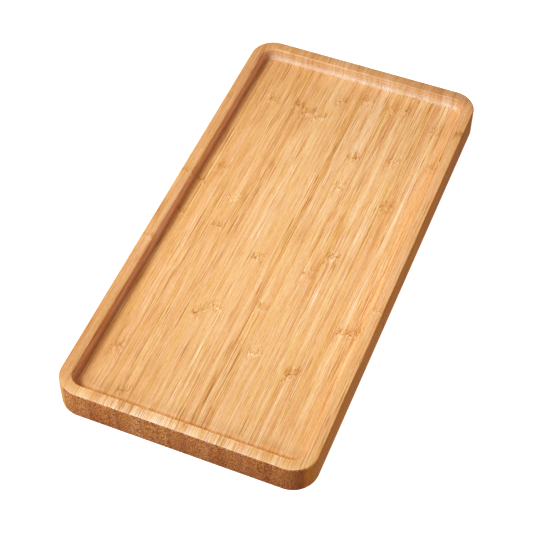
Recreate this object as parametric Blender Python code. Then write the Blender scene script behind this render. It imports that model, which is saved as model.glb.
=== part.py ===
"""Bamboo serving tray: strips on edge, glued into one board, then milled with a shallow recess.

The tray lies on its flat underside. X runs across the strips, Y along them, and Z is up.
The origin is the middle of the underside. Lengths are in metres.
"""
import math

import bmesh
import bpy

mm = 0.001

# Finished board
tray_length = 300 * mm
tray_width = 150 * mm
tray_thickness = 20 * mm

# What the router cuts
corner_radius = 15 * mm
rim_width = 7.5 * mm
recess_depth = 8 * mm
cove_radius = 3.5 * mm
edge_radius = 1 * mm
crown_radius = 22 * mm

# Strips that the board is glued from. A glue line is left open between neighbours
strip_width = 8 * mm
glue_line = 0.3 * mm
pattern_shift = 0.5 * mm
milling_allowance = 2 * mm

# Ring points nearer than this are one point
weld_distance = 0.001 * mm

# Facets in a quarter turn of each rounding
corner_steps = 12
cove_steps = 6
edge_steps = 4
crown_steps = 4

# Satin bamboo: strip colours from pale to deep, and the order that they were glued in
bamboo_colours = {
    "pale": (0.90, 0.53, 0.24, 1.0),
    "honey": (0.88, 0.49, 0.20, 1.0),
    "golden": (0.86, 0.46, 0.17, 1.0),
    "amber": (0.80, 0.41, 0.15, 1.0),
}
glued_order = (
    "amber", "amber", "honey", "golden", "honey", "golden", "honey", "pale", "honey", "golden",
    "pale", "pale", "golden", "honey", "pale", "golden", "pale", "golden", "amber",
)
satin_roughness = 0.45


def clear_scene():
    for thing in list(bpy.data.objects):
        bpy.data.objects.remove(thing, do_unlink=True)


def link(name, mesh):
    piece = bpy.data.objects.new(name, mesh)
    bpy.context.scene.collection.objects.link(piece)
    return piece


def bamboo(name, colour):
    material = bpy.data.materials.new(name)
    material.use_nodes = True
    shader = material.node_tree.nodes["Principled BSDF"]
    shader.inputs["Base Color"].default_value = colour
    shader.inputs["Roughness"].default_value = satin_roughness
    shader.inputs["Metallic"].default_value = 0.0
    material.diffuse_color = colour
    return material


def outline_at(inset):
    """The tray's rounded outline moved inwards, anticlockwise from the +X side."""
    radius = corner_radius - inset
    centre_x = tray_width / 2 - corner_radius
    centre_y = tray_length / 2 - corner_radius
    points = []
    for quarter, (side_x, side_y) in enumerate(((1, 1), (-1, 1), (-1, -1), (1, -1))):
        for step in range(corner_steps + 1):
            turn = math.pi / 2 * (quarter + step / corner_steps)
            points.append((side_x * centre_x + radius * math.cos(turn),
                           side_y * centre_y + radius * math.sin(turn)))
    return points


def rounding(centre, radius, start, end, steps):
    """An arc of the rim's section, as (inset, height) points. At 0 degrees it faces outwards, at 90 up."""
    centre_inset, centre_height = centre
    points = []
    for step in range(steps + 1):
        angle = math.radians(start + (end - start) * step / steps)
        points.append((centre_inset - radius * math.cos(angle), centre_height + radius * math.sin(angle)))
    return points


def rim_section():
    """Section through the rim, from the underside round the outside and over the rim to the floor.

    The rim's top is a little crowned, and each lip's arc runs into the crown where it leans as the crown does.
    """
    middle = rim_width / 2
    easing = min(edge_radius, middle)
    cove = min(cove_radius, recess_depth - easing, corner_radius - rim_width)
    floor_height = tray_thickness - recess_depth
    crown_centre = tray_thickness - crown_radius
    lean = math.asin((middle - easing) / (crown_radius - easing))
    lip_height = crown_centre + (crown_radius - easing) * math.cos(lean)
    lean = math.degrees(lean)
    foot = rounding((easing, easing), easing, -90, 0, edge_steps)
    outer_lip = rounding((easing, lip_height), easing, 0, 90 - lean, edge_steps)
    crown = rounding((middle, crown_centre), crown_radius, 90 - lean, 90 + lean, crown_steps)
    inner_lip = rounding((rim_width - easing, lip_height), easing, 90 + lean, 180, edge_steps)
    recess_foot = rounding((rim_width + cove, floor_height + cove), cove, 0, -90, cove_steps)
    return foot + outer_lip + crown[1:-1] + inner_lip + recess_foot


def milled_form():
    """The whole tray as the router leaves it: the rim's section carried round the outline."""
    shape = bmesh.new()
    rings = []
    for inset, height in rim_section():
        rings.append([shape.verts.new((x, y, height)) for x, y in outline_at(inset)])
    for lower, upper in zip(rings, rings[1:]):
        for here in range(len(lower)):
            after = (here + 1) % len(lower)
            side = shape.faces.new((lower[here], lower[after], upper[after], upper[here]))
            side.smooth = True
    shape.faces.new(reversed(rings[0]))
    shape.faces.new(rings[-1])
    bmesh.ops.remove_doubles(shape, verts=shape.verts, dist=weld_distance)
    bmesh.ops.recalc_face_normals(shape, faces=shape.faces)
    mesh = bpy.data.meshes.new("milled_form")
    shape.to_mesh(mesh)
    shape.free()
    form = link("milled_form", mesh)
    form.hide_render = True
    form.display_type = "WIRE"
    return form


def glue_line_places():
    """X of each glue line. The two outer strips take what the whole strips between them leave."""
    count = round(tray_width / strip_width)
    return [pattern_shift + (number - count / 2) * strip_width for number in range(1, count)]


def strip_sides():
    """The two sides of each rough strip in X, left to right. The outer ones reach past the outline."""
    lines = glue_line_places()
    left_sides = [-tray_width / 2 - milling_allowance] + [x + glue_line / 2 for x in lines]
    right_sides = [x - glue_line / 2 for x in lines] + [tray_width / 2 + milling_allowance]
    return list(zip(left_sides, right_sides))


def rough_strip(name, left, right):
    """A sawn strip, longer and deeper than the finished board, with its origin at its own middle."""
    length = tray_length + 2 * milling_allowance
    depth = tray_thickness + 2 * milling_allowance
    shape = bmesh.new()
    bmesh.ops.create_cube(shape, size=1)
    bmesh.ops.scale(shape, verts=shape.verts, vec=(right - left, length, depth))
    mesh = bpy.data.meshes.new(name)
    shape.to_mesh(mesh)
    shape.free()
    strip = link(name, mesh)
    strip.location = ((left + right) / 2, 0, tray_thickness / 2)
    return strip


def mill(strip, form):
    """Leave of the strip only what lies inside the milled form."""
    cut = strip.modifiers.new("milling", "BOOLEAN")
    cut.operation = "INTERSECT"
    cut.solver = "EXACT"
    cut.object = form


def strip_name(number, count):
    if number == 1:
        return "edge_strip_left"
    if number == count:
        return "edge_strip_right"
    return f"strip_{number:02d}"


def tray():
    form = milled_form()
    sides = strip_sides()
    for number, (left, right) in enumerate(sides, start=1):
        name = strip_name(number, len(sides))
        strip = rough_strip(name, left, right)
        colour = glued_order[(number - 1) % len(glued_order)]
        strip.data.materials.append(bamboo(f"{colour}_bamboo_{name}", bamboo_colours[colour]))
        mill(strip, form)


clear_scene()
tray()
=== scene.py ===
"""Looks of the bamboo serving tray: nineteen strips on edge, glued to a board and milled with a recess."""
import math
from collections import namedtuple

import bmesh
import bpy
from mathutils import Matrix, Vector

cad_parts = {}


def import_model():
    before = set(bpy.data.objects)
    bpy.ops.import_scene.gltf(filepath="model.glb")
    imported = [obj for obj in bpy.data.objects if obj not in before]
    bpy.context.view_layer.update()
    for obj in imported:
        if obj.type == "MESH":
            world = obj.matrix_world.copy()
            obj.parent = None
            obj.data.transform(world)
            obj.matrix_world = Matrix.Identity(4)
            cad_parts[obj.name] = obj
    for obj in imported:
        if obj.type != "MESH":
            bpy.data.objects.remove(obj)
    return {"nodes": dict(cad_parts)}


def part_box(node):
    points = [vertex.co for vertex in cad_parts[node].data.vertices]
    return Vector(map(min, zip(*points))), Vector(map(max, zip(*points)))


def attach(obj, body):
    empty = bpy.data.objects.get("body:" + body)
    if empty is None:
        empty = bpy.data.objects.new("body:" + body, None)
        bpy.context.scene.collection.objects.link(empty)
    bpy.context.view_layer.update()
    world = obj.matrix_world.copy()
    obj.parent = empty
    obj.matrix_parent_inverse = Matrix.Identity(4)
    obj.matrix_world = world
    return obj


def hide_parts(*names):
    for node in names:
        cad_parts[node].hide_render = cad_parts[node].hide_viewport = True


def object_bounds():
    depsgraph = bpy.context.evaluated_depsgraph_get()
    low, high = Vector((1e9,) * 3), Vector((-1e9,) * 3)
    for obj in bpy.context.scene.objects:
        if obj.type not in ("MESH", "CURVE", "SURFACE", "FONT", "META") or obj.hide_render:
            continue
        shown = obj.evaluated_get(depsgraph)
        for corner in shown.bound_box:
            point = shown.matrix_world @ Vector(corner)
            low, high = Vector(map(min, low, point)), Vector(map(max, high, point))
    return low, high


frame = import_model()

cad_low, cad_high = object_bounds()

mm = 0.001

# Tray, as the CAD model has it
tray_size = cad_high - cad_low
corner_radius = 15 * mm
rim_width = 7.5 * mm
recess_depth = 8 * mm
cove_radius = 3.5 * mm
edge_radius = 1 * mm
crown_radius = 22 * mm
strip_width = 8 * mm
floor_height = cad_high.z - recess_depth

# The rim's crown starts and ends a little further in than its rounded lips
lip_reach = 1.3 * edge_radius
crown_steps = 6

# Hairline left open on each side of a glue line, and how near a cut takes a point as lying on it
hairline = 0.01 * mm
cut_threshold = 0.001 * mm

# Facets in a quarter turn of each rounding
corner_segments = 24
cove_segments = 12
edge_segments = 6

# Faces that meet at less than the smooth angle are shaded as one. Above the square angle they are rounded
smooth_angle = math.radians(40)
square_angle = math.radians(60)

# The studio's floor is 20 m wide, and lies a hair under the tray
studio_size = 20
studio_gap = 0.2 * mm

# Bamboo is darker or paler by shades. 0 is the board's middle colour, 3 a dark fibre, and a minus is paler
bamboo_shades = (
    (-5, (0.91, 0.78, 0.60, 1)),
    (-3, (0.87, 0.66, 0.41, 1)),
    (-2, (0.83, 0.585, 0.32, 1)),
    (0, (0.77, 0.455, 0.195, 1)),
    (2, (0.66, 0.34, 0.115, 1)),
    (4, (0.55, 0.25, 0.068, 1)),
    (6, (0.43, 0.17, 0.036, 1)),
)
palest_shade = bamboo_shades[0][0]
darkest_shade = bamboo_shades[-1][0]

# What a full blush adds to each part of the colour
blush_tint = (0.08, 0.0, 1.4)

# The studio's colour, and the colour that every tint starts from
white = (1, 1, 1, 1)

# Roughness of planed bamboo, what a cut end and a bundle of fibres add to it, and the relief of the fibres
wood_roughness = 0.45
end_roughness = 0.18
bundle_roughness = -0.06
relief_strength = 0.35
relief_depth = 0.05 * mm

# Places on the tray where the fibres stand out more or less than on its floor
place_contrasts = (
    ("Front Rim", 0.2), ("Front Corners", -0.7), ("Far Rim", -0.3), ("End Grain", -0.7),
    ("Far Wall", -0.45),
)

# Places on the tray that are darker or paler than its floor, in shades. The sides are darker in tone and,
# mostly at the right, painted shade; the front edge is a painted highlight; far rim, inner lip and front
# crease are painted shade; off middle is partly the wood's tone and partly painted fall-off of light
# towards the ends
place_shades = (
    ("Side", 2), ("Front Rim", -0.5), ("Front Edge Highlight", -1.1), ("Far Rim", 0.8), ("Inner Lip", 1.6),
    ("Front Crease", 2.6), ("Off Middle", 0.7),
)

# What the wood's colour is multiplied by at each place, or where two places overlap. Many of these tints
# are painted light or shade, as each says
place_tints = (
    # Painted shade on the far rim, deeper towards its right end
    (("Far Rim", "Right"), (0.82, 0.75, 0.72, 1)),
    (("Side Rim", "Right"), (1.02, 0.99, 0.93, 1)),
    # Painted shade: the right side darker towards the back
    (("Side", "Back"), (0.81, 0.74, 0.20, 1)),
    # Painted highlight: the front-left corner catching the light from the left
    (("Left Side",), (1.22, 1.42, 1.45, 1)),
    # The sides darker and warmer in tone, and on the right side painted shade
    (("Side",), (1.06, 0.90, 0.22, 1)),
    (("Side Rim",), (0.96, 0.98, 1.10, 1)),
    # The far wall paler and bluer: partly its cut end's own tone, partly painted light
    (("Far Wall",), (1.02, 1.07, 1.22, 1)),
    # Painted light: the shaded left wall made paler and bluer
    (("Left Wall",), (1.25, 1.29, 2.13, 1)),
    # Painted light: the floor by the front wall lifted out of the rim's shade
    (("Front Foot",), (1.12, 1.06, 1.04, 1)),
    # Painted shade that dims the highlight in the far cove
    (("Far Foot",), (0.83, 0.83, 0.91, 1)),
    # Painted shade: the floor at the foot of the left wall, in the rim's shadow
    (("Left Foot",), (0.94, 0.83, 0.69, 1)),
    # Painted shade: a dark line in the crease at the foot of the left wall
    (("Left Crease",), (0.63, 0.43, 0.29, 1)),
    # Painted shade on the left wall's top lip
    (("Left Lip",), (0.90, 0.78, 0.60, 1)),
    # Painted light on the front rim's inner lip, which turns away from the light
    (("Front Lip",), (1.16, 1.12, 1.06, 1)),
    # Painted shade on the far rim, with its shades above
    (("Far Rim",), (0.96, 0.985, 1.12, 1)),
    # The painted highlight on the outer half of the front rim, made a little less red
    (("Front Edge Highlight",), (0.95, 0.97, 1.06, 1)),
    # Darker towards both ends of the tray: partly the wood's tone, partly painted fall-off of the light
    (("Off Middle",), (0.93, 0.94, 0.97, 1)),
)

# The same for the strips' ends, where the fibres are cut across
end_tints = (
    (("Cut End",), (0.925, 0.78, 0.69, 1)),
    (("Pores",), (0.50, 0.28, 0.05, 1)),
    (("Dense End",), (0.90, 0.85, 0.88, 1)),
    (("Golden End",), (1.0, 0.98, 0.80, 1)),
    # Painted shade: the end faces darker at their top, where the rounded edge turns up to the light
    (("Cut End", "High"), (0.65, 0.48, 0.24, 1)),
    # Painted shade: the end faces darker towards the foot
    (("Cut End", "Low"), (0.81, 0.745, 0.78, 1)),
    (("Cut End", "Right"), (0.78, 0.73, 0.66, 1)),
)

# Places that the router marks and the walls' painted light, and the end grain, ask for
router_places = ("Front Rim", "Front Corners", "Far Wall", "Left Wall")
end_fades = ("High", "Low", "Right")

# Places along a strip in mm. Long streaks run past its ends. Most of them change at the front wall of the
# recess, because the rim is cut higher in the strip than the floor
past_near = -170
rim_stop = -140
floor_start = -142
past_far = 170

# Half width of a glue line in mm, and its shade at full darkness
glue_half_width = 0.3
glue_shade = 3

# How far each strip's wood is from that of the one before, along it and up, in mm, so that no two are alike
next_strip_along = 310
next_strip_up = 37

# Each strip in its material: colour slot, shade, the side where its fibres are dense (1 right, -1 left),
# how dark the glue line at its right is, how much of its ends is cut square, its knuckles and its streaks.
# Knuckle: place along the strip in mm, lean, half length in mm, and how dark and how pale its marks are
# Streak: place across the strip, from and to along it, and half width, all in mm, and its shade
Strip = namedtuple("Strip", "slot shade dense glue end knuckles streaks")
strip_looks = (
    Strip("amber", 1.5, -1, 0.5, 0.2, ((22, 0.3, 4, 0.8, 0.6), (-33, -0.2, 4, 0.6, 0.5)), ()),
    Strip("amber", 0.5, -1, 0.5, 1, ((25, 0.2, 4, 0.9, 0.5), (-3, -0.3, 4, 0.7, 0.5)),
          ((2.5, -76, -62, 0.6, 1.2),)),
    Strip("honey", 0.2, 1, 0.9, 1, ((40, 0.2, 6, 0.5, 0.3), (-107, 0.2, 5, 0.9, 0.5)),
          ((-3, -110, -88, 0.5, 2.0), (0, 30, 50, 2.5, 0.7), (-2.7, floor_start, past_far, 2.0, 1.0),
           (3, floor_start, past_far, 1.3, -0.8), (0.8, past_near, rim_stop, 5, -1.5))),
    Strip("golden", 0.4, -1, 0.4, 1, ((106, -0.2, 5, 0.5, 0.8),),
          ((-2.2, 85, 136, 0.4, 1.6), (-1, 42, 68, 3, 1.0), (-2.2, -25, 40, 0.5, 1.0),
           (-2.2, 104, 109, 0.6, 1.6), (-3, floor_start, past_far, 1.3, 0.4),
           (3, floor_start, past_far, 1.3, -0.6), (-2, past_near, rim_stop, 3, 0.8))),
    Strip("honey", 0.0, 1, 0.9, 1,
          ((19, 0.3, 6, 0.6, 0.9), (-5, 0.2, 4, 0.9, 0.4), (-132, 0.2, 4, 1.1, 0.3)),
          ((2, 114, 150, 4, 1.0), (-1, 60, 76, 0.5, -1.5), (1, 12, 42, 1.6, -1.2),
           (-3, floor_start, past_far, 1.4, 0.6), (2.8, floor_start, 110, 1.3, -0.5),
           (0, past_near, rim_stop, 1.6, 0.8), (2.9, past_near, rim_stop, 1.2, -1.7))),
    Strip("golden", 0.4, -1, 0.5, 1, ((108, -0.3, 5, 1.2, 0.4),),
          ((-2.2, 106, 128, 0.5, 2.4), (-1.8, 88, 105, 0.4, 1.6), (-3.4, -25, 65, 0.5, 1.6),
           (2.9, floor_start, past_far, 1.3, 0.4), (-2.8, past_near, rim_stop, 1.3, 0.7),
           (2.5, past_near, rim_stop, 2, -0.9))),
    Strip("honey", -0.2, 1, 0.6, 1, ((104, 0.5, 5, 1.1, 0.6), (-67, 0.9, 6, 0.9, 0.6)),
          ((-0.8, 74, 98, 0.7, 1.6), (0, 107, 125, 2.5, 0.8), (0.2, 0, 42, 0.5, -1.6),
           (-3, floor_start, past_far, 1.2, 0.5), (2, floor_start, past_far, 2, -0.3),
           (0.5, past_near, rim_stop, 5, -2.2))),
    Strip("pale", -0.5, 1, 0.5, 1, ((103, 0.2, 5, 1.1, 0.5), (-60, -0.2, 5, 0.9, 0.8)),
          ((-2.2, 106, 122, 0.4, 1.6), (-1.5, -8, 42, 1.2, -1.4), (-3, floor_start, past_far, 1.3, 0.6),
           (2.9, floor_start, past_far, 1.3, -0.6), (2.9, past_near, rim_stop, 1.4, -1.6))),
    Strip("honey", -0.3, 1, 0.5, 1, ((121, 0.3, 5, 1.1, 0.5), (-18, 0.3, 5, 1.0, 0.5)),
          ((2.0, -5, 42, 0.8, -1.0), (2.4, -62, -28, 0.4, 1.0), (2.9, floor_start, past_far, 1.3, 0.8),
           (2.5, -24, -18, 0.5, 2.4), (0, past_near, rim_stop, 1.3, -2.0),
           (3, past_near, rim_stop, 1.2, 0.4))),
    Strip("golden", -0.2, 1, 0.7, 1, (),
          ((2.5, past_near, 138, 1.5, 1.7), (2.6, 55, 85, 1.4, 0.9), (0.7, past_near, past_far, 0.3, 1.0),
           (-3, floor_start, past_far, 1.3, 0.8), (0, floor_start, past_far, 1.2, -1.4),
           (3, past_near, rim_stop, 1.3, -0.9))),
    Strip("pale", -0.5, -1, 0.6, 1, ((128, 0.1, 6, 1.1, 0.6), (-52, 0.1, 4, 0.6, 1.0)),
          ((0, 126, 150, 4, 0.7), (3.6, 128, 142, 0.6, 1.8), (3.8, 28, 56, 0.4, 1.6),
           (-3, floor_start, 122, 1.3, -0.7), (3, floor_start, 122, 1.5, 1.0), (3.8, -14, -11, 0.6, 2.0),
           (-1.5, past_near, rim_stop, 2.5, -0.3))),
    Strip("pale", -0.6, 1, 1.0, 1,
          ((77, 0.2, 5, 1.2, 0.6), (50, 0.3, 6, 0.7, 0.8), (-82, 0.3, 4, 1.0, 0.8)),
          ((-0.3, 82, 150, 3, -0.9), (3.6, -23, 28, 0.4, 3.2), (2.6, -23, 20, 0.4, 1.2),
           (-3, past_near, rim_stop, 1.3, -0.5), (0, past_near, rim_stop, 1.6, -1.1),
           (3, past_near, rim_stop, 1.3, 0.8))),
    Strip("golden", 0.2, 1, 0.6, 1, ((126, -0.3, 6, 0.7, 0.3), (-17, 0.5, 6, 0.4, 0.3)),
          ((2.5, 92, 135, 1.6, 1.2), (2.4, -22, -9, 1.4, 3.4), (2.6, 15, 45, 0.7, 1.2),
           (2.8, -48, -22, 0.4, 1.4), (-1.5, floor_start, 150, 2.5, -0.5),
           (2.9, floor_start, -50, 1.3, -1.2), (2.9, 48, 90, 1.3, -1.2),
           (-3, past_near, rim_stop, 1.2, -1.0), (-0.2, past_near, rim_stop, 2.4, 2.0))),
    Strip("honey", -0.3, 1, 0.6, 1, ((-2, 0.2, 5, 1.0, 1.6), (128, 0.2, 5, 0.8, 0.3)),
          ((2.3, -6, 1, 1.2, 2.2), (-3.6, -3, 4, 0.6, 2.2), (3.7, 118, 136, 0.7, 2.2),
           (0.8, -120, -60, 0.6, -1.2), (-3, floor_start, past_far, 1.2, 0.8),
           (0.5, floor_start, 110, 1.6, -1.1), (3, past_near, rim_stop, 2, -0.9))),
    Strip("pale", -0.7, -1, 0.9, 1, ((83, 0.4, 5, 1.1, 0.7), (-88, 0.5, 6, 1.1, 0.8)),
          ((1.5, -45, 75, 2.2, -0.6), (3, -92, -78, 0.4, 1.8), (-3.5, 95, 110, 0.6, 1.2),
           (0, floor_start, -45, 1.8, -0.7), (3.1, floor_start, 90, 1.1, 0.9),
           (-3, floor_start, past_far, 1.3, 1.0), (-2.8, past_near, rim_stop, 1.6, -0.9),
           (2, past_near, rim_stop, 2.5, 1.0))),
    Strip("golden", 0.3, 1, 0.6, 1, ((47, 0.2, 6, 1.1, 0.4),),
          ((-3.5, -50, 45, 0.4, 2.2), (2, 8, 46, 2.5, 1.2), (3.0, 48, 66, 1.0, 1.2),
           (2.8, floor_start, 150, 1.2, 0.5), (2, past_near, rim_stop, 2.5, 1.1))),
    Strip("pale", -0.6, -1, 0.5, 1, ((-52, 0.5, 5, 1.2, 0.5), (118, 0.6, 6, 0.6, 0.4)),
          ((3.6, 110, 126, 0.6, 2.2), (-2.4, floor_start, past_far, 1.3, -0.6),
           (0, floor_start, past_far, 1.2, -1.5), (3, floor_start, past_far, 1.1, 1.2),
           (0, past_near, rim_stop, 1.3, 1.2))),
    Strip("golden", 0.3, 1, 0.5, 1, ((87, 0.3, 5, 0.9, 0.4), (-50, 0.3, 5, 0.9, 0.6)),
          ((-3, floor_start, past_far, 1.3, -0.8), (0.3, floor_start, past_far, 1.3, 0.8))),
    Strip("amber", 0.35, 1, 0, 1, ((112, 0.3, 5, 1.2, 0.4), (-35, 0.2, 4, 0.8, 0.5)), ()),
)

# A point on the tray: its place in mm, how far it is in from the outline, how far it is past the start of a
# corner in X, and its normal. Then how much it belongs to the front, far end, left side and either side
Spot = namedtuple("Spot", "x y height inset past_corner normal front far left side")

# A length that something is divided by is never less than this
least_length = 0.001

# The tray's halves change over within this many mm of its middle
middle_fade = 1

# Numbers of a Mix node's colour sockets, because its other sockets have the same names
mix_factor = 0
mix_first = 6
mix_second = 7
mix_result = 2


def deselect_all():
    bpy.ops.object.select_all(action="DESELECT")


def start_editing(piece):
    """Edit mode on one piece alone, with nothing in it selected."""
    deselect_all()
    bpy.context.view_layer.objects.active = piece
    piece.select_set(True)
    bpy.ops.object.mode_set(mode="EDIT")
    bpy.ops.mesh.select_mode(type="EDGE")
    bpy.ops.mesh.select_all(action="DESELECT")


def stop_editing():
    bpy.ops.object.mode_set(mode="OBJECT")


def select_edges(piece, wanted):
    """Selects the edges of the piece in edit mode for which wanted says yes."""
    bpy.ops.mesh.select_all(action="DESELECT")
    shape = bmesh.from_edit_mesh(piece.data)
    for edge in shape.edges:
        if wanted(edge):
            edge.select_set(True)
    shape.select_flush_mode()
    bmesh.update_edit_mesh(piece.data)


def select_faces(piece, wanted):
    """Selects the faces of the piece in edit mode for which wanted says yes."""
    bpy.ops.mesh.select_all(action="DESELECT")
    shape = bmesh.from_edit_mesh(piece.data)
    for face in shape.faces:
        if wanted(face):
            face.select_set(True)
    bmesh.update_edit_mesh(piece.data)


def is_top(face):
    return face.normal.z > 0.5


def is_upright(edge):
    run = edge.verts[1].co - edge.verts[0].co
    return abs(run.z) > tray_size.z / 2


def is_square(edge):
    """Whether the two faces of the edge meet at about a right angle."""
    return edge.calc_face_angle(0) > square_angle


def is_at_foot(edge):
    """Whether the edge is where the recess's floor meets its walls."""
    on_floor = all(abs(vert.co.z - floor_height) < cut_threshold for vert in edge.verts)
    return on_floor and is_square(edge)


def crown_height(inset):
    """Height of the rim's crowned top at a distance in from the outline."""
    off_middle = inset - rim_width / 2
    return cad_high.z - crown_radius + math.sqrt(crown_radius ** 2 - off_middle ** 2)


def crown_stations():
    """Distances in from the outline at which the rim's top has a ring of points."""
    span = rim_width - 2 * lip_reach
    return [lip_reach + span * step / crown_steps for step in range(crown_steps + 1)] + [rim_width]


def milled_tray():
    """The whole tray in one piece: a rounded slab, its recess, and the roundings that the router leaves."""
    deselect_all()
    slab = Vector((tray_size.x, tray_size.y, crown_height(0)))
    bpy.ops.mesh.primitive_cube_add(size=1, location=(0, 0, slab.z / 2), scale=slab)
    tray = bpy.context.active_object
    tray.name = "milled_tray"
    bpy.ops.object.transform_apply(location=True, rotation=True, scale=True)
    start_editing(tray)
    select_edges(tray, is_upright)
    bpy.ops.mesh.bevel(offset=corner_radius, segments=corner_segments, affect="EDGES")
    select_faces(tray, is_top)
    inset = 0
    for station in crown_stations():
        bpy.ops.mesh.inset(thickness=station - inset, depth=crown_height(station) - crown_height(inset))
        inset = station
    down = (0, 0, floor_height - crown_height(inset))
    bpy.ops.mesh.extrude_region_move(TRANSFORM_OT_translate={"value": down})
    select_edges(tray, is_at_foot)
    bpy.ops.mesh.bevel(offset=cove_radius, segments=cove_segments, affect="EDGES")
    select_edges(tray, is_square)
    bpy.ops.mesh.bevel(offset=edge_radius, segments=edge_segments, affect="EDGES")
    bpy.ops.mesh.select_all(action="SELECT")
    bpy.ops.mesh.normals_make_consistent(inside=False)
    stop_editing()
    return tray


def own_copy(piece, name):
    """A copy of the piece that has its own mesh."""
    copy = piece.copy()
    copy.data = piece.data.copy()
    copy.name = name
    copy.data.name = name
    bpy.context.scene.collection.objects.link(copy)
    return copy


def saw_off(place, keep_right):
    """Cuts the piece in edit mode at X = place, keeps one side, and closes it."""
    bpy.ops.mesh.select_all(action="SELECT")
    bpy.ops.mesh.bisect(
        plane_co=(place, 0, 0), plane_no=(1, 0, 0), use_fill=True,
        clear_inner=keep_right, clear_outer=not keep_right, threshold=cut_threshold,
    )


def finish_shading(piece):
    """Smooth roundings between flat faces that stay flat."""
    deselect_all()
    bpy.context.view_layer.objects.active = piece
    piece.select_set(True)
    bpy.ops.object.shade_smooth_by_angle(angle=smooth_angle)
    bpy.ops.object.modifier_add(type="WEIGHTED_NORMAL")
    piece.modifiers[-1].keep_sharp = True
    bpy.ops.object.modifier_apply(modifier=piece.modifiers[-1].name)


def glue_lines(names):
    """X of each glue line: the middle of the gap between neighbours in the CAD model."""
    lines = []
    for left, right in zip(names, names[1:]):
        lines.append((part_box(left)[1].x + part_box(right)[0].x) / 2)
    return lines


def middle_of_strip(number, lines):
    """X of a strip's middle, half a strip from the glue line beside it."""
    if number < len(lines):
        return lines[number] - strip_width / 2
    return lines[-1] + strip_width / 2


def wire(tree, socket, value):
    """Sets an input to a number, vector or colour, or runs a wire to it from another node."""
    if isinstance(value, bpy.types.NodeSocket):
        tree.links.new(value, socket)
    else:
        socket.default_value = value


def fill(tree, node, **values):
    """Sets or wires the node's named inputs. An underscore stands for a space in a name."""
    for name, value in values.items():
        wire(tree, node.inputs[name.replace("_", " ")], value)


def maths(tree, operation, *values):
    made = tree.nodes.new("ShaderNodeMath")
    made.operation = operation
    for socket, value in zip(made.inputs, values):
        wire(tree, socket, value)
    return made.outputs["Value"]


def product(tree, first, *others):
    """All the values multiplied together."""
    for other in others:
        first = maths(tree, "MULTIPLY", first, other)
    return first


def layered(tree, base, *layers):
    """The base, with each layer's value added at its strength."""
    for value, strength in layers:
        base = maths(tree, "MULTIPLY_ADD", value, strength, base)
    return base


def vector_maths(tree, operation, *values):
    made = tree.nodes.new("ShaderNodeVectorMath")
    made.operation = operation
    for socket, value in zip(made.inputs, values):
        wire(tree, socket, value)
    return made.outputs["Value" if operation == "LENGTH" else "Vector"]


def split(tree, vector):
    made = tree.nodes.new("ShaderNodeSeparateXYZ")
    fill(tree, made, Vector=vector)
    return made.outputs["X"], made.outputs["Y"], made.outputs["Z"]


def joined(tree, x, y, z):
    made = tree.nodes.new("ShaderNodeCombineXYZ")
    fill(tree, made, X=x, Y=y, Z=z)
    return made.outputs["Vector"]


def ease(tree, value, start, end, low=0, high=1):
    """Low before start and high after end, with a smooth rise between."""
    made = tree.nodes.new("ShaderNodeMapRange")
    made.interpolation_type = "SMOOTHSTEP"
    fill(tree, made, Value=value, From_Min=start, From_Max=end, To_Min=low, To_Max=high)
    return made.outputs["Result"]


def bell(tree, distance, reach):
    """1 at no distance, fading to about a third at the reach."""
    share = maths(tree, "DIVIDE", distance, reach)
    return maths(tree, "EXPONENT", product(tree, share, share, -1))


def noise(tree, place, feature, detail=0, roughness=0.5, distortion=0):
    """Noise around 0, with the size of a feature along each axis in the place's own unit."""
    made = tree.nodes.new("ShaderNodeTexNoise")
    scaled = vector_maths(tree, "DIVIDE", place, feature)
    fill(tree, made, Vector=scaled, Scale=1, Detail=detail, Roughness=roughness, Distortion=distortion)
    return maths(tree, "SUBTRACT", made.outputs["Fac"], 0.5)


def start_group(name, *inputs):
    """A node group with its named inputs: each has a kind, and a number also its usual value."""
    tree = bpy.data.node_groups.new(name, "ShaderNodeTree")
    for socket_name, kind, usual in inputs:
        socket = tree.interface.new_socket(
            name=socket_name, in_out="INPUT", socket_type=f"NodeSocket{kind}",
        )
        if usual is not None:
            socket.default_value = usual
    return tree, tree.nodes.new("NodeGroupInput").outputs


def finish_group(tree, *outputs):
    """Gives a node group its named outputs, each with its kind and value."""
    for socket_name, kind, value in outputs:
        tree.interface.new_socket(name=socket_name, in_out="OUTPUT", socket_type=f"NodeSocket{kind}")
    end = tree.nodes.new("NodeGroupOutput")
    for socket_name, kind, value in outputs:
        wire(tree, end.inputs[socket_name], value)
    return tree


def use_group(tree, used, **values):
    made = tree.nodes.new("ShaderNodeGroup")
    made.node_tree = used
    made.label = used.name
    fill(tree, made, **values)
    return made.outputs


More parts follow.
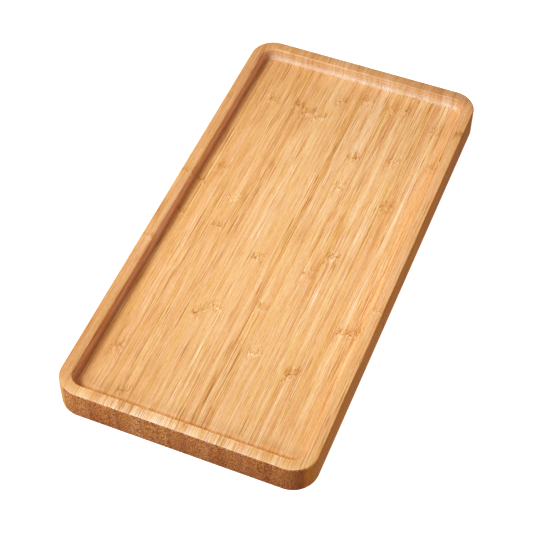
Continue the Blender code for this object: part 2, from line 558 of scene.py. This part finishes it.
def knuckle_group():
    """A knuckle of the culm: fibres swirl round a jagged scar that lies between dark and pale marks."""
    tree, given = start_group(
        "bamboo_knuckle",
        ("Place", "Vector", None), ("Grain", "Vector", None), ("Shade", "Float", 0), ("Along", "Float", 0),
        ("Lean", "Float", 0), ("Reach", "Float", 5), ("Dark", "Float", 1), ("Pale", "Float", 1),
    )
    across, along, up = split(tree, given["Place"])
    seeded = vector_maths(tree, "ADD", given["Place"], joined(tree, given["Along"], 0, given["Along"]))
    jag = noise(tree, seeded, (2.2, 60, 7), detail=1, roughness=0.7)
    from_scar = maths(tree, "SUBTRACT", along, given["Along"])
    from_scar = maths(tree, "SUBTRACT", from_scar, product(tree, given["Lean"], across))
    from_scar = layered(tree, from_scar, (jag, given["Reach"]))
    near = bell(tree, from_scar, given["Reach"])

    # Fibres swirl on both sides of the scar
    swirl = product(tree, noise(tree, seeded, (3.2, 5, 6), detail=1), near, 4)
    grain = vector_maths(tree, "ADD", given["Grain"], joined(tree, swirl, 0, swirl))

    # The scar, broken where fibres pass it
    breaks = noise(tree, seeded, (1.3, 30, 3), detail=1)
    scar = product(tree, bell(tree, from_scar, 0.5), ease(tree, breaks, -0.05, 0.08))

    # Curls round it: thin pale loops, with dark arcs beside them
    curl = noise(tree, seeded, (2.6, 4.5, 5), distortion=0.6)
    loops = product(tree, bell(tree, curl, 0.035), near)
    arcs = product(tree, bell(tree, maths(tree, "SUBTRACT", curl, 0.09), 0.03), near)

    # Short slanting scratches beside it
    slant = joined(tree, layered(tree, across, (from_scar, 0.3)), from_scar, up)
    slant = vector_maths(tree, "ADD", slant, joined(tree, given["Along"], 0, 0))
    scratches = ease(tree, noise(tree, slant, (0.7, 4.5, 2.5), detail=1, distortion=0.7), 0.08, 0.13)
    scratches = product(tree, scratches, near)

    # A dark stain on one side and a pale pad on the other, each over part of the width
    cover = noise(tree, seeded, (3.5, 14, 8))
    stain = bell(tree, maths(tree, "SUBTRACT", from_scar, 1.8), product(tree, given["Reach"], 0.45))
    stain = product(tree, stain, ease(tree, cover, -0.08, 0.16))
    pad = bell(tree, maths(tree, "ADD", from_scar, 1.6), product(tree, given["Reach"], 0.32))
    pad = product(tree, pad, ease(tree, cover, 0.12, -0.12))

    dark = layered(tree, 0, (scar, 3.8), (scratches, 3.8), (arcs, 2.0), (stain, 1.6))
    pale = layered(tree, 0, (loops, -2.3), (pad, -1.9))
    shade = layered(tree, given["Shade"], (dark, given["Dark"]), (pale, given["Pale"]))
    return finish_group(tree, ("Grain", "Vector", grain), ("Shade", "Float", shade))


def streak_group():
    """A long streak or a wide patch that follows the grain."""
    tree, given = start_group(
        "long_streak",
        ("Grain", "Vector", None), ("Shade", "Float", 0), ("Across", "Float", 0), ("From", "Float", -10),
        ("To", "Float", 10), ("Half Width", "Float", 1), ("Strength", "Float", 1),
    )
    grain = given["Grain"]
    across, along = split(tree, grain)[:2]
    wander = noise(tree, grain, (4, 28, 9), detail=2)
    side = layered(tree, maths(tree, "SUBTRACT", across, given["Across"]), (wander, given["Half Width"]))

    # Its ends are frayed, and fade out over a few millimetres
    fray = 26
    fade = 4
    frayed = layered(tree, along, (noise(tree, grain, (0.7, 40, 3)), fray))
    begin = ease(tree, maths(tree, "SUBTRACT", frayed, given["From"]), -fade, fade)
    end = ease(tree, maths(tree, "SUBTRACT", given["To"], frayed), -fade, fade)

    uneven = layered(tree, 1, (noise(tree, grain, (3, 22, 9), detail=1), 2.2))
    body = product(tree, bell(tree, side, given["Half Width"]), begin, end, uneven)
    return finish_group(tree, ("Shade", "Float", layered(tree, given["Shade"], (body, given["Strength"]))))


def fibre_group():
    """Fibres along the strip, denser towards one side. They show as streaks, and as specks on a cut end."""
    tree, given = start_group(
        "bamboo_fibres", ("Grain", "Vector", None), ("Shade", "Float", 0), ("Contrast", "Float", 1),
    )
    grain = given["Grain"]
    across, along, up = split(tree, grain)
    lasting = noise(tree, grain, (3.6, 600, 7), detail=4, roughness=1)
    passing = noise(tree, grain, (1.8, 30, 4), detail=2, roughness=0.7)
    grit = noise(tree, grain, (0.5, 2.5, 0.6))
    dashes = ease(tree, noise(tree, grain, (0.7, 8, 0.8), detail=1), 0.1, 0.2)

    # Hairlines stand in patches: dark ones, and bright ones between them
    short_hair = noise(tree, grain, (0.42, 24, 1), detail=1)
    long_hair = noise(tree, grain, (0.45, 220, 1.2), detail=1)
    hair = layered(tree, 0, (short_hair, 0.85), (long_hair, 0.62))
    dark_hair = ease(tree, hair, 0.06, 0.15)
    bright_hair = ease(tree, hair, -0.05, -0.15)
    patch = ease(tree, noise(tree, grain, (8, 120, 8)), -0.12, 0.12, 0.5, 1.1)
    hairlines = product(tree, layered(tree, 0, (dark_hair, 4.4), (bright_hair, -2.1)), patch)

    # Bundles stand closer together on the dense side
    packed = product(tree, across, layered(tree, 1, (across, 0.035)))
    bundle_size = (1.3, 60, 1.2)
    cells = tree.nodes.new("ShaderNodeTexVoronoi")
    cell_place = vector_maths(tree, "DIVIDE", joined(tree, packed, along, up), bundle_size)
    fill(tree, cells, Vector=cell_place, Scale=1)
    dense = ease(tree, across, -4.5, 4, 0.4, 1)
    bundles = product(tree, ease(tree, cells.outputs["Distance"], 0.42, 0.2), dense)

    # The start is pale enough for all of them together to leave the strip at its own shade
    start = -1.08
    fibres = layered(
        tree, start, (lasting, 4.3), (passing, 0.9), (hairlines, 1), (grit, 2.4), (bundles, 1.3),
        (dashes, 1.1), (dense, 0.6),
    )
    blush = noise(tree, grain, (2.2, 70, 4), detail=3, roughness=0.9)
    return finish_group(
        tree,
        ("Shade", "Float", layered(tree, given["Shade"], (fibres, given["Contrast"]))),
        ("Bundles", "Float", bundles),
        ("Blush", "Float", blush),
        ("Relief", "Float", layered(tree, bundles, (dashes, -0.5))),
    )


def spot_on_tray(tree, place, normal):
    """The Spot of a point, from its place in mm and its normal."""
    straight = (tray_size.xy / 2 - Vector((corner_radius, corner_radius))) / mm
    past = vector_maths(tree, "SUBTRACT", vector_maths(tree, "ABSOLUTE", place), (*straight, 0))
    past_x, past_y = split(tree, past)[:2]
    out_x = maths(tree, "MAXIMUM", past_x, 0)
    out_y = maths(tree, "MAXIMUM", past_y, 0)
    out = vector_maths(tree, "LENGTH", joined(tree, out_x, out_y, 0))
    inside = maths(tree, "MINIMUM", maths(tree, "MAXIMUM", past_x, past_y), 0)
    inset = maths(tree, "SUBTRACT", corner_radius / mm, maths(tree, "ADD", out, inside))
    facing_end = maths(tree, "DIVIDE", out_y, maths(tree, "MAXIMUM", out, least_length))
    facing_side = maths(tree, "SUBTRACT", 1, facing_end)
    x, y, height = split(tree, place)
    return Spot(
        x, y, height, inset, past_x, split(tree, normal),
        front=product(tree, facing_end, ease(tree, y, middle_fade, -middle_fade)),
        far=product(tree, facing_end, ease(tree, y, -middle_fade, middle_fade)),
        left=product(tree, facing_side, ease(tree, x, middle_fade, -middle_fade)),
        side=facing_side,
    )


def outer_places(tree, spot):
    """The tray's outer faces: its ends, cut across the fibres, and its sides along them."""
    across, lengthwise = spot.normal[:2]
    outside = ease(tree, spot.inset, 1.6, 0.9)
    level = vector_maths(tree, "LENGTH", joined(tree, across, lengthwise, 0))
    towards_end = maths(tree, "ABSOLUTE", lengthwise)
    towards_end = maths(tree, "DIVIDE", towards_end, maths(tree, "MAXIMUM", level, least_length))
    cut_across = product(tree, ease(tree, towards_end, 0.6, 0.8), ease(tree, level, 0.35, 0.55))
    sideways = ease(tree, maths(tree, "ABSOLUTE", across), 0.4, 0.8)
    # The sides' darkening is full at the right, where it is painted shade, and a quarter of it at the left
    fainter_at_left = ease(tree, spot.x, -middle_fade, middle_fade, 0.25)
    below_edge = ease(tree, spot.height, 19.5, 18.5)
    return {
        "End Grain": product(tree, cut_across, outside),
        "Side": product(tree, sideways, fainter_at_left, outside),
        # Painted highlight on the outer faces at the left end, where the front-left corner faces the light
        "Left Side": product(tree, ease(tree, spot.x, -56, -67), below_edge, outside),
    }


def rim_places(tree, spot):
    """The rim's top and its lips."""
    top = ease(tree, spot.height, 17.6, 19)
    rim = product(tree, ease(tree, spot.inset, 8, 7.3), top)
    front_rim = product(tree, rim, spot.front)
    # Painted shade along the inner lips of the rim, which turn away from the light
    inner_lip = bell(tree, maths(tree, "SUBTRACT", spot.inset, rim_width / mm - 0.05), 0.36)
    front_lip = bell(tree, maths(tree, "SUBTRACT", spot.inset, 6.6), 0.7)
    left_lip = bell(tree, maths(tree, "SUBTRACT", spot.inset, 7.3), 0.35)
    return {
        "Side Rim": product(tree, rim, spot.side),
        "Front Rim": front_rim,
        # Painted highlight: the front rim's outer half, where its crown slopes towards the light
        "Front Edge Highlight": product(tree, front_rim, ease(tree, spot.inset, 6, 0.5)),
        "Front Corners": product(tree, front_rim, ease(tree, spot.past_corner, -20, -6)),
        # The far rim, darkened with painted shade
        "Far Rim": product(tree, rim, spot.far),
        "Inner Lip": product(tree, inner_lip, ease(tree, spot.height, 14.5, 17)),
        # Painted light on the front rim's inner lip
        "Front Lip": product(tree, front_lip, top, spot.front),
        # Painted shade on the left wall's top lip
        "Left Lip": product(tree, left_lip, ease(tree, spot.height, 18.2, 19.2), spot.left),
    }


def recess_places(tree, spot):
    """The recess's walls, their foot, and the floor beside them."""
    upward = spot.normal[2]
    within = ease(tree, spot.inset, 5, 7)
    wall = product(tree, ease(tree, maths(tree, "ABSOLUTE", upward), 0.95, 0.5), within)
    above_base = ease(tree, spot.height, 6, 10)
    on_floor = product(tree, ease(tree, spot.height, 16, 13), above_base, within)
    foot = product(tree, ease(tree, spot.inset, 11.2, 8.8), ease(tree, spot.height, 18, 14), within)
    foot = product(tree, foot, above_base)
    left_foot = bell(tree, maths(tree, "SUBTRACT", spot.inset, 12), 1.1)
    left_crease = product(tree, ease(tree, spot.inset, 7.2, 7.9), ease(tree, spot.inset, 9.5, 8.7))
    return {
        # The far wall, paler partly in tone and partly with painted light
        "Far Wall": product(tree, wall, spot.far),
        # The left wall, which gets painted light
        "Left Wall": product(tree, wall, spot.left),
        # Painted light on the floor by the front wall
        "Front Foot": product(tree, ease(tree, spot.inset, 22, 14), on_floor, spot.front),
        # Painted shadow: a dark line on the floor at the foot of the front wall
        "Front Crease": product(tree, ease(tree, spot.inset, 13.1, 12.3), on_floor, spot.front),
        # Painted shade in the far cove, over its highlight
        "Far Foot": product(tree, foot, spot.far),
        # Painted shade on the floor by the left wall
        "Left Foot": product(tree, left_foot, on_floor, spot.left),
        # Painted shade in the crease at the foot of the left wall
        "Left Crease": product(tree, left_crease, foot, spot.left),
    }


def wide_fades(tree, spot):
    """Slow changes over the tray: with height, to the right, to the back, and away from the middle."""
    from_middle = maths(tree, "ABSOLUTE", maths(tree, "SUBTRACT", spot.y, 6))
    return {
        "High": ease(tree, spot.height, 17.5, 20),
        "Low": ease(tree, spot.height, 20, 0),
        "Right": ease(tree, spot.x, -80, 80),
        "Back": ease(tree, spot.y, -130, 130),
        # Away from the middle: partly the wood's tone, partly painted fall-off of the light
        "Off Middle": ease(tree, from_middle, 35, 145),
    }


def tinted(tree, colour, mask, tint):
    """The colour, multiplied by the tint where the mask is 1."""
    made = tree.nodes.new("ShaderNodeMix")
    made.data_type = "RGBA"
    made.blend_type = "MULTIPLY"
    for number, value in ((mix_factor, mask), (mix_first, colour), (mix_second, tint)):
        wire(tree, made.inputs[number], value)
    return made.outputs[mix_result]


def all_tints(tree, masks, tints):
    """White, multiplied by each tint where its masks overlap."""
    colour = white
    for places, tint in tints:
        colour = tinted(tree, colour, product(tree, *(masks[place] for place in places)), tint)
    return colour


def milled_group():
    """Tone and painted light and shade at each place on the milled tray, from a point's place in mm and
    normal.
    """
    tree, given = start_group("milled_places", ("Place", "Vector", None), ("Normal", "Vector", None))
    spot = spot_on_tray(tree, given["Place"], given["Normal"])
    masks = {
        **outer_places(tree, spot), **rim_places(tree, spot),
        **recess_places(tree, spot), **wide_fades(tree, spot),
    }
    contrast = layered(tree, 1, *((masks[place], strength) for place, strength in place_contrasts))
    shade = layered(tree, 0, *((masks[place], strength) for place, strength in place_shades))
    return finish_group(
        tree,
        ("Contrast", "Float", contrast),
        ("Shade", "Float", shade),
        ("Tint", "Color", all_tints(tree, masks, place_tints)),
        *((place, "Float", masks[place]) for place in ("End Grain", *end_fades, *router_places)),
    )


def router_and_wall_light_group():
    """What the router leaves: wide bands on the front rim, and marks round the walls of the recess. The far
    and
    left walls are also paler by 2.2 shades: painted light on the left wall, and on the far wall partly its
    paler cut end and partly painted light.
    """
    tree, given = start_group(
        "router_marks_and_wall_light",
        ("Place", "Vector", None), ("Wood Place", "Vector", None), ("Shade", "Float", 0),
        *((place, "Float", 0) for place in router_places),
    )
    wood = given["Wood Place"]
    bands = product(tree, noise(tree, wood, (8, 80, 20), detail=1), 7)
    banded = layered(tree, given["Front Rim"], (given["Front Corners"], -0.9))
    # Paler by 2.2 shades: painted light on the left wall, and partly painted light on the far wall
    rings_and_wall_light = layered(tree, -2.2, (noise(tree, given["Place"], (30, 30, 0.7), detail=1), 2.5))
    woven_and_wall_light = layered(tree, rings_and_wall_light, (noise(tree, wood, (0.9, 80, 30), detail=1, roughness=1), 6))
    shade = layered(
        tree, given["Shade"], (banded, bands), (given["Far Wall"], woven_and_wall_light), (given["Left Wall"], rings_and_wall_light),
    )
    return finish_group(tree, ("Shade", "Float", shade))


def end_group():
    """A strip's ends, where its fibres are cut across: their pores, and how their colour changes."""
    tree, given = start_group(
        "end_grain",
        ("Strip Place", "Vector", None), ("Wood Place", "Vector", None), ("Bundles", "Float", 0),
        ("Cut End", "Float", 0), *((fade, "Float", 0) for fade in end_fades),
    )
    specks = noise(tree, given["Wood Place"], (0.75, 40, 1.1), detail=1, roughness=1)
    rows = noise(tree, given["Wood Place"], (1.1, 60, 45), detail=3, roughness=1)
    pores = layered(tree, 0.4, (specks, 7), (rows, 0.3), (given["Bundles"], 0.35))
    across = split(tree, given["Strip Place"])[0]
    cut_end = given["Cut End"]
    masks = {
        "Cut End": cut_end,
        "Pores": product(tree, cut_end, ease(tree, pores, 0.25, 0.75)),
        "Dense End": product(tree, cut_end, ease(tree, across, 0.5, 3.6)),
        "Golden End": product(tree, cut_end, bell(tree, maths(tree, "ADD", across, 1), 1.4)),
        **{fade: given[fade] for fade in end_fades},
    }
    return finish_group(tree, ("Tint", "Color", all_tints(tree, masks, end_tints)))


def pigment_group():
    """Bamboo's colour at a shade, a little pinker or yellower with its blush."""
    tree, given = start_group("bamboo_pigment", ("Shade", "Float", 0), ("Blush", "Float", 0))
    ramp = tree.nodes.new("ShaderNodeValToRGB")
    stops = ramp.color_ramp.elements
    ready = len(stops)
    span = darkest_shade - palest_shade
    for number, (shade, colour) in enumerate(bamboo_shades):
        place = (shade - palest_shade) / span
        stop = stops[number] if number < ready else stops.new(place)
        stop.position = place
        stop.color = colour
    fill(tree, ramp, Fac=maths(tree, "DIVIDE", maths(tree, "SUBTRACT", given["Shade"], palest_shade), span))
    blush = joined(tree, given["Blush"], given["Blush"], given["Blush"])
    blush = vector_maths(tree, "MULTIPLY_ADD", blush, blush_tint, (1, 1, 1))
    blushed = vector_maths(tree, "MULTIPLY", ramp.outputs["Color"], blush)
    return finish_group(tree, ("Color", "Color", blushed))


def in_millimetres(tree, place, facing=1, middle=0):
    """The place in mm from a middle in X, with X turned round where facing is -1."""
    made = tree.nodes.new("ShaderNodeMapping")
    fill(tree, made, Vector=place, Location=(-facing * middle / mm, 0, 0),
         Scale=(facing / mm, 1 / mm, 1 / mm))
    return made.outputs["Vector"]


def culm_marks(tree, look, groups, on_strip, grain):
    """The grain as the strip's knuckles turn it, and the shade with knuckles, streaks and glue line."""
    shade = look.shade
    for along, lean, reach, dark, pale in look.knuckles:
        knuckle = use_group(tree, groups["knuckle"], Place=on_strip, Grain=grain, Shade=shade, Along=along,
                            Lean=lean * look.dense, Reach=reach, Dark=dark, Pale=pale)
        grain = knuckle["Grain"]
        shade = knuckle["Shade"]
    glue_line = (strip_width / 2 / mm, past_near, past_far, glue_half_width, glue_shade * look.glue)
    for across, start, end, half_width, strength in (*look.streaks, glue_line):
        streak = use_group(tree, groups["streak"], Grain=on_strip, Shade=shade, Across=across * look.dense,
                           From=start, To=end, Half_Width=half_width, Strength=strength)
        shade = streak["Shade"]
    return grain, shade


def bamboo(name, look, middle, number, groups):
    """The material of one strip. Its middle is the X that its pattern is centred on."""
    material = bpy.data.materials.new(name)
    material.use_nodes = True
    tree = material.node_tree
    coordinates = tree.nodes.new("ShaderNodeTexCoord").outputs
    on_tray = in_millimetres(tree, coordinates["Object"])
    on_strip = in_millimetres(tree, coordinates["Object"], look.dense, middle)
    in_wood = vector_maths(tree, "ADD", on_strip, (0, next_strip_along * number, next_strip_up * number))

    grain, shade = culm_marks(tree, look, groups, on_strip, in_wood)
    part = use_group(tree, groups["milled"], Place=on_tray, Normal=coordinates["Normal"])
    fibres = use_group(tree, groups["fibres"], Grain=grain, Shade=shade, Contrast=part["Contrast"])
    shade = maths(tree, "ADD", fibres["Shade"], part["Shade"])
    shade = use_group(tree, groups["router"], Place=on_tray, Wood_Place=in_wood, Shade=shade,
                      **{place: part[place] for place in router_places})["Shade"]
    cut_end = product(tree, part["End Grain"], look.end)
    end = use_group(tree, groups["end"], Strip_Place=on_strip, Wood_Place=in_wood, Cut_End=cut_end,
                    Bundles=fibres["Bundles"], **{fade: part[fade] for fade in end_fades})

    colour = use_group(tree, groups["pigment"], Shade=shade, Blush=fibres["Blush"])["Color"]
    for tint in (part["Tint"], end["Tint"]):
        colour = tinted(tree, colour, 1, tint)
    roughness = layered(
        tree, wood_roughness, (fibres["Bundles"], bundle_roughness), (cut_end, end_roughness),
    )
    relief = tree.nodes.new("ShaderNodeBump")
    fill(tree, relief, Strength=relief_strength, Distance=relief_depth, Height=fibres["Relief"])
    shader = tree.nodes["Principled BSDF"]
    fill(tree, shader, Base_Color=colour, Roughness=roughness, Normal=relief.outputs["Normal"])
    return material


def strips():
    """The tray, sawn along its glue lines into one piece for each strip of the CAD model."""
    names = sorted(frame["nodes"], key=lambda name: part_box(name)[0].x)
    lines = glue_lines(names)
    groups = {"knuckle": knuckle_group(), "streak": streak_group(), "fibres": fibre_group(),
              "milled": milled_group(), "router": router_and_wall_light_group(), "end": end_group(),
              "pigment": pigment_group()}
    whole = milled_tray()
    for number, (name, look) in enumerate(zip(names, strip_looks)):
        strip = own_copy(whole, f"bamboo_{name}")
        start_editing(strip)
        if number > 0:
            saw_off(lines[number - 1] + hairline, keep_right=True)
        if number < len(lines):
            saw_off(lines[number] - hairline, keep_right=False)
        stop_editing()
        finish_shading(strip)
        wood = bamboo(f"{look.slot}_bamboo_{name}", look, middle_of_strip(number, lines), number, groups)
        strip.data.materials.clear()
        strip.data.materials.append(wood)
        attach(strip, "root")
        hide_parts(name)
    bpy.data.objects.remove(whole, do_unlink=True)


def show_either(tree, output, share, first, second):
    """Puts out the first shader where the share is 0, and the second where it is 1."""
    chosen = tree.nodes.new("ShaderNodeMixShader")
    for socket, value in zip(chosen.inputs, (share, first, second)):
        wire(tree, socket, value)
    wire(tree, tree.nodes[output].inputs["Surface"], chosen.outputs["Shader"])


def studio_floor():
    """White paper that throws no colour on the tray and is clear from below."""
    deselect_all()
    bpy.ops.mesh.primitive_plane_add(size=studio_size, location=(0, 0, -studio_gap))
    floor = bpy.context.active_object
    floor.name = "studio_floor"
    paper = bpy.data.materials.new("studio_white")
    paper.use_nodes = True
    tree = paper.node_tree
    shader = tree.nodes["Principled BSDF"]
    fill(tree, shader, Base_Color=(0.6, 0.6, 0.6, 1), Emission_Color=white, Emission_Strength=0.95,
         Specular_IOR_Level=0)
    clear = tree.nodes.new("ShaderNodeBsdfTransparent")
    from_below = tree.nodes.new("ShaderNodeNewGeometry").outputs["Backfacing"]
    show_either(tree, "Material Output", from_below, shader.outputs["BSDF"], clear.outputs["BSDF"])
    floor.data.materials.append(paper)
    floor.visible_diffuse = False
    floor.visible_glossy = False


def camera():
    """The photograph's view: where its camera stood and looked, and which way is right in the picture."""
    place = Vector((0.19436, -0.50719, 0.65625))
    aim = Vector((-0.23508, 0.58403, -0.77695))
    right = Vector((0.92621, 0.37700, 0.00315))
    data = bpy.data.cameras.new("camera")
    data.lens = 96.60
    data.sensor_width = 36
    view = bpy.data.objects.new("camera", data)
    bpy.context.scene.collection.objects.link(view)
    back = -aim.normalized()
    up = back.cross(right).normalized()
    right = up.cross(back)
    view.matrix_world = Matrix.Translation(place) @ Matrix((right, up, back)).transposed().to_4x4()
    bpy.context.scene.camera = view


def light(name, azimuth, elevation, distance, size, power, colour):
    """A square soft light that faces the middle of the tray. Azimuth 0 is in front, and 90 at the right."""
    around = math.radians(azimuth)
    above = math.radians(elevation)
    level = math.cos(above)
    towards = Vector((math.sin(around) * level, -math.cos(around) * level, math.sin(above)))
    data = bpy.data.lights.new(name, "AREA")
    data.size = size
    data.energy = power
    data.color = colour
    lamp = bpy.data.objects.new(name, data)
    lamp.location = towards * distance
    lamp.rotation_euler = towards.to_track_quat("Z", "Y").to_euler()
    bpy.context.scene.collection.objects.link(lamp)


def world(colour, strength):
    """Warm light from all round, seen by the camera itself as white."""
    made = bpy.data.worlds.new("studio")
    made.use_nodes = True
    tree = made.node_tree
    surround = tree.nodes["Background"]
    fill(tree, surround, Color=colour, Strength=strength)
    backdrop = tree.nodes.new("ShaderNodeBackground")
    fill(tree, backdrop, Color=white)
    ray = tree.nodes.new("ShaderNodeLightPath")
    show_either(tree, "World Output", ray.outputs["Is Camera Ray"], surround.outputs["Background"],
                backdrop.outputs["Background"])
    bpy.context.scene.world = made


strips()
studio_floor()
camera()
world(colour=(1, 0.66, 0.42, 1), strength=0.46)
light("key", azimuth=-45, elevation=54, distance=2.5, size=0.65, power=50, colour=(0.92, 1, 0.98))
light("low_fill", azimuth=-30, elevation=30, distance=2.5, size=0.6, power=17, colour=(1, 0.97, 1))
bpy.context.scene.view_settings.view_transform = "Standard"
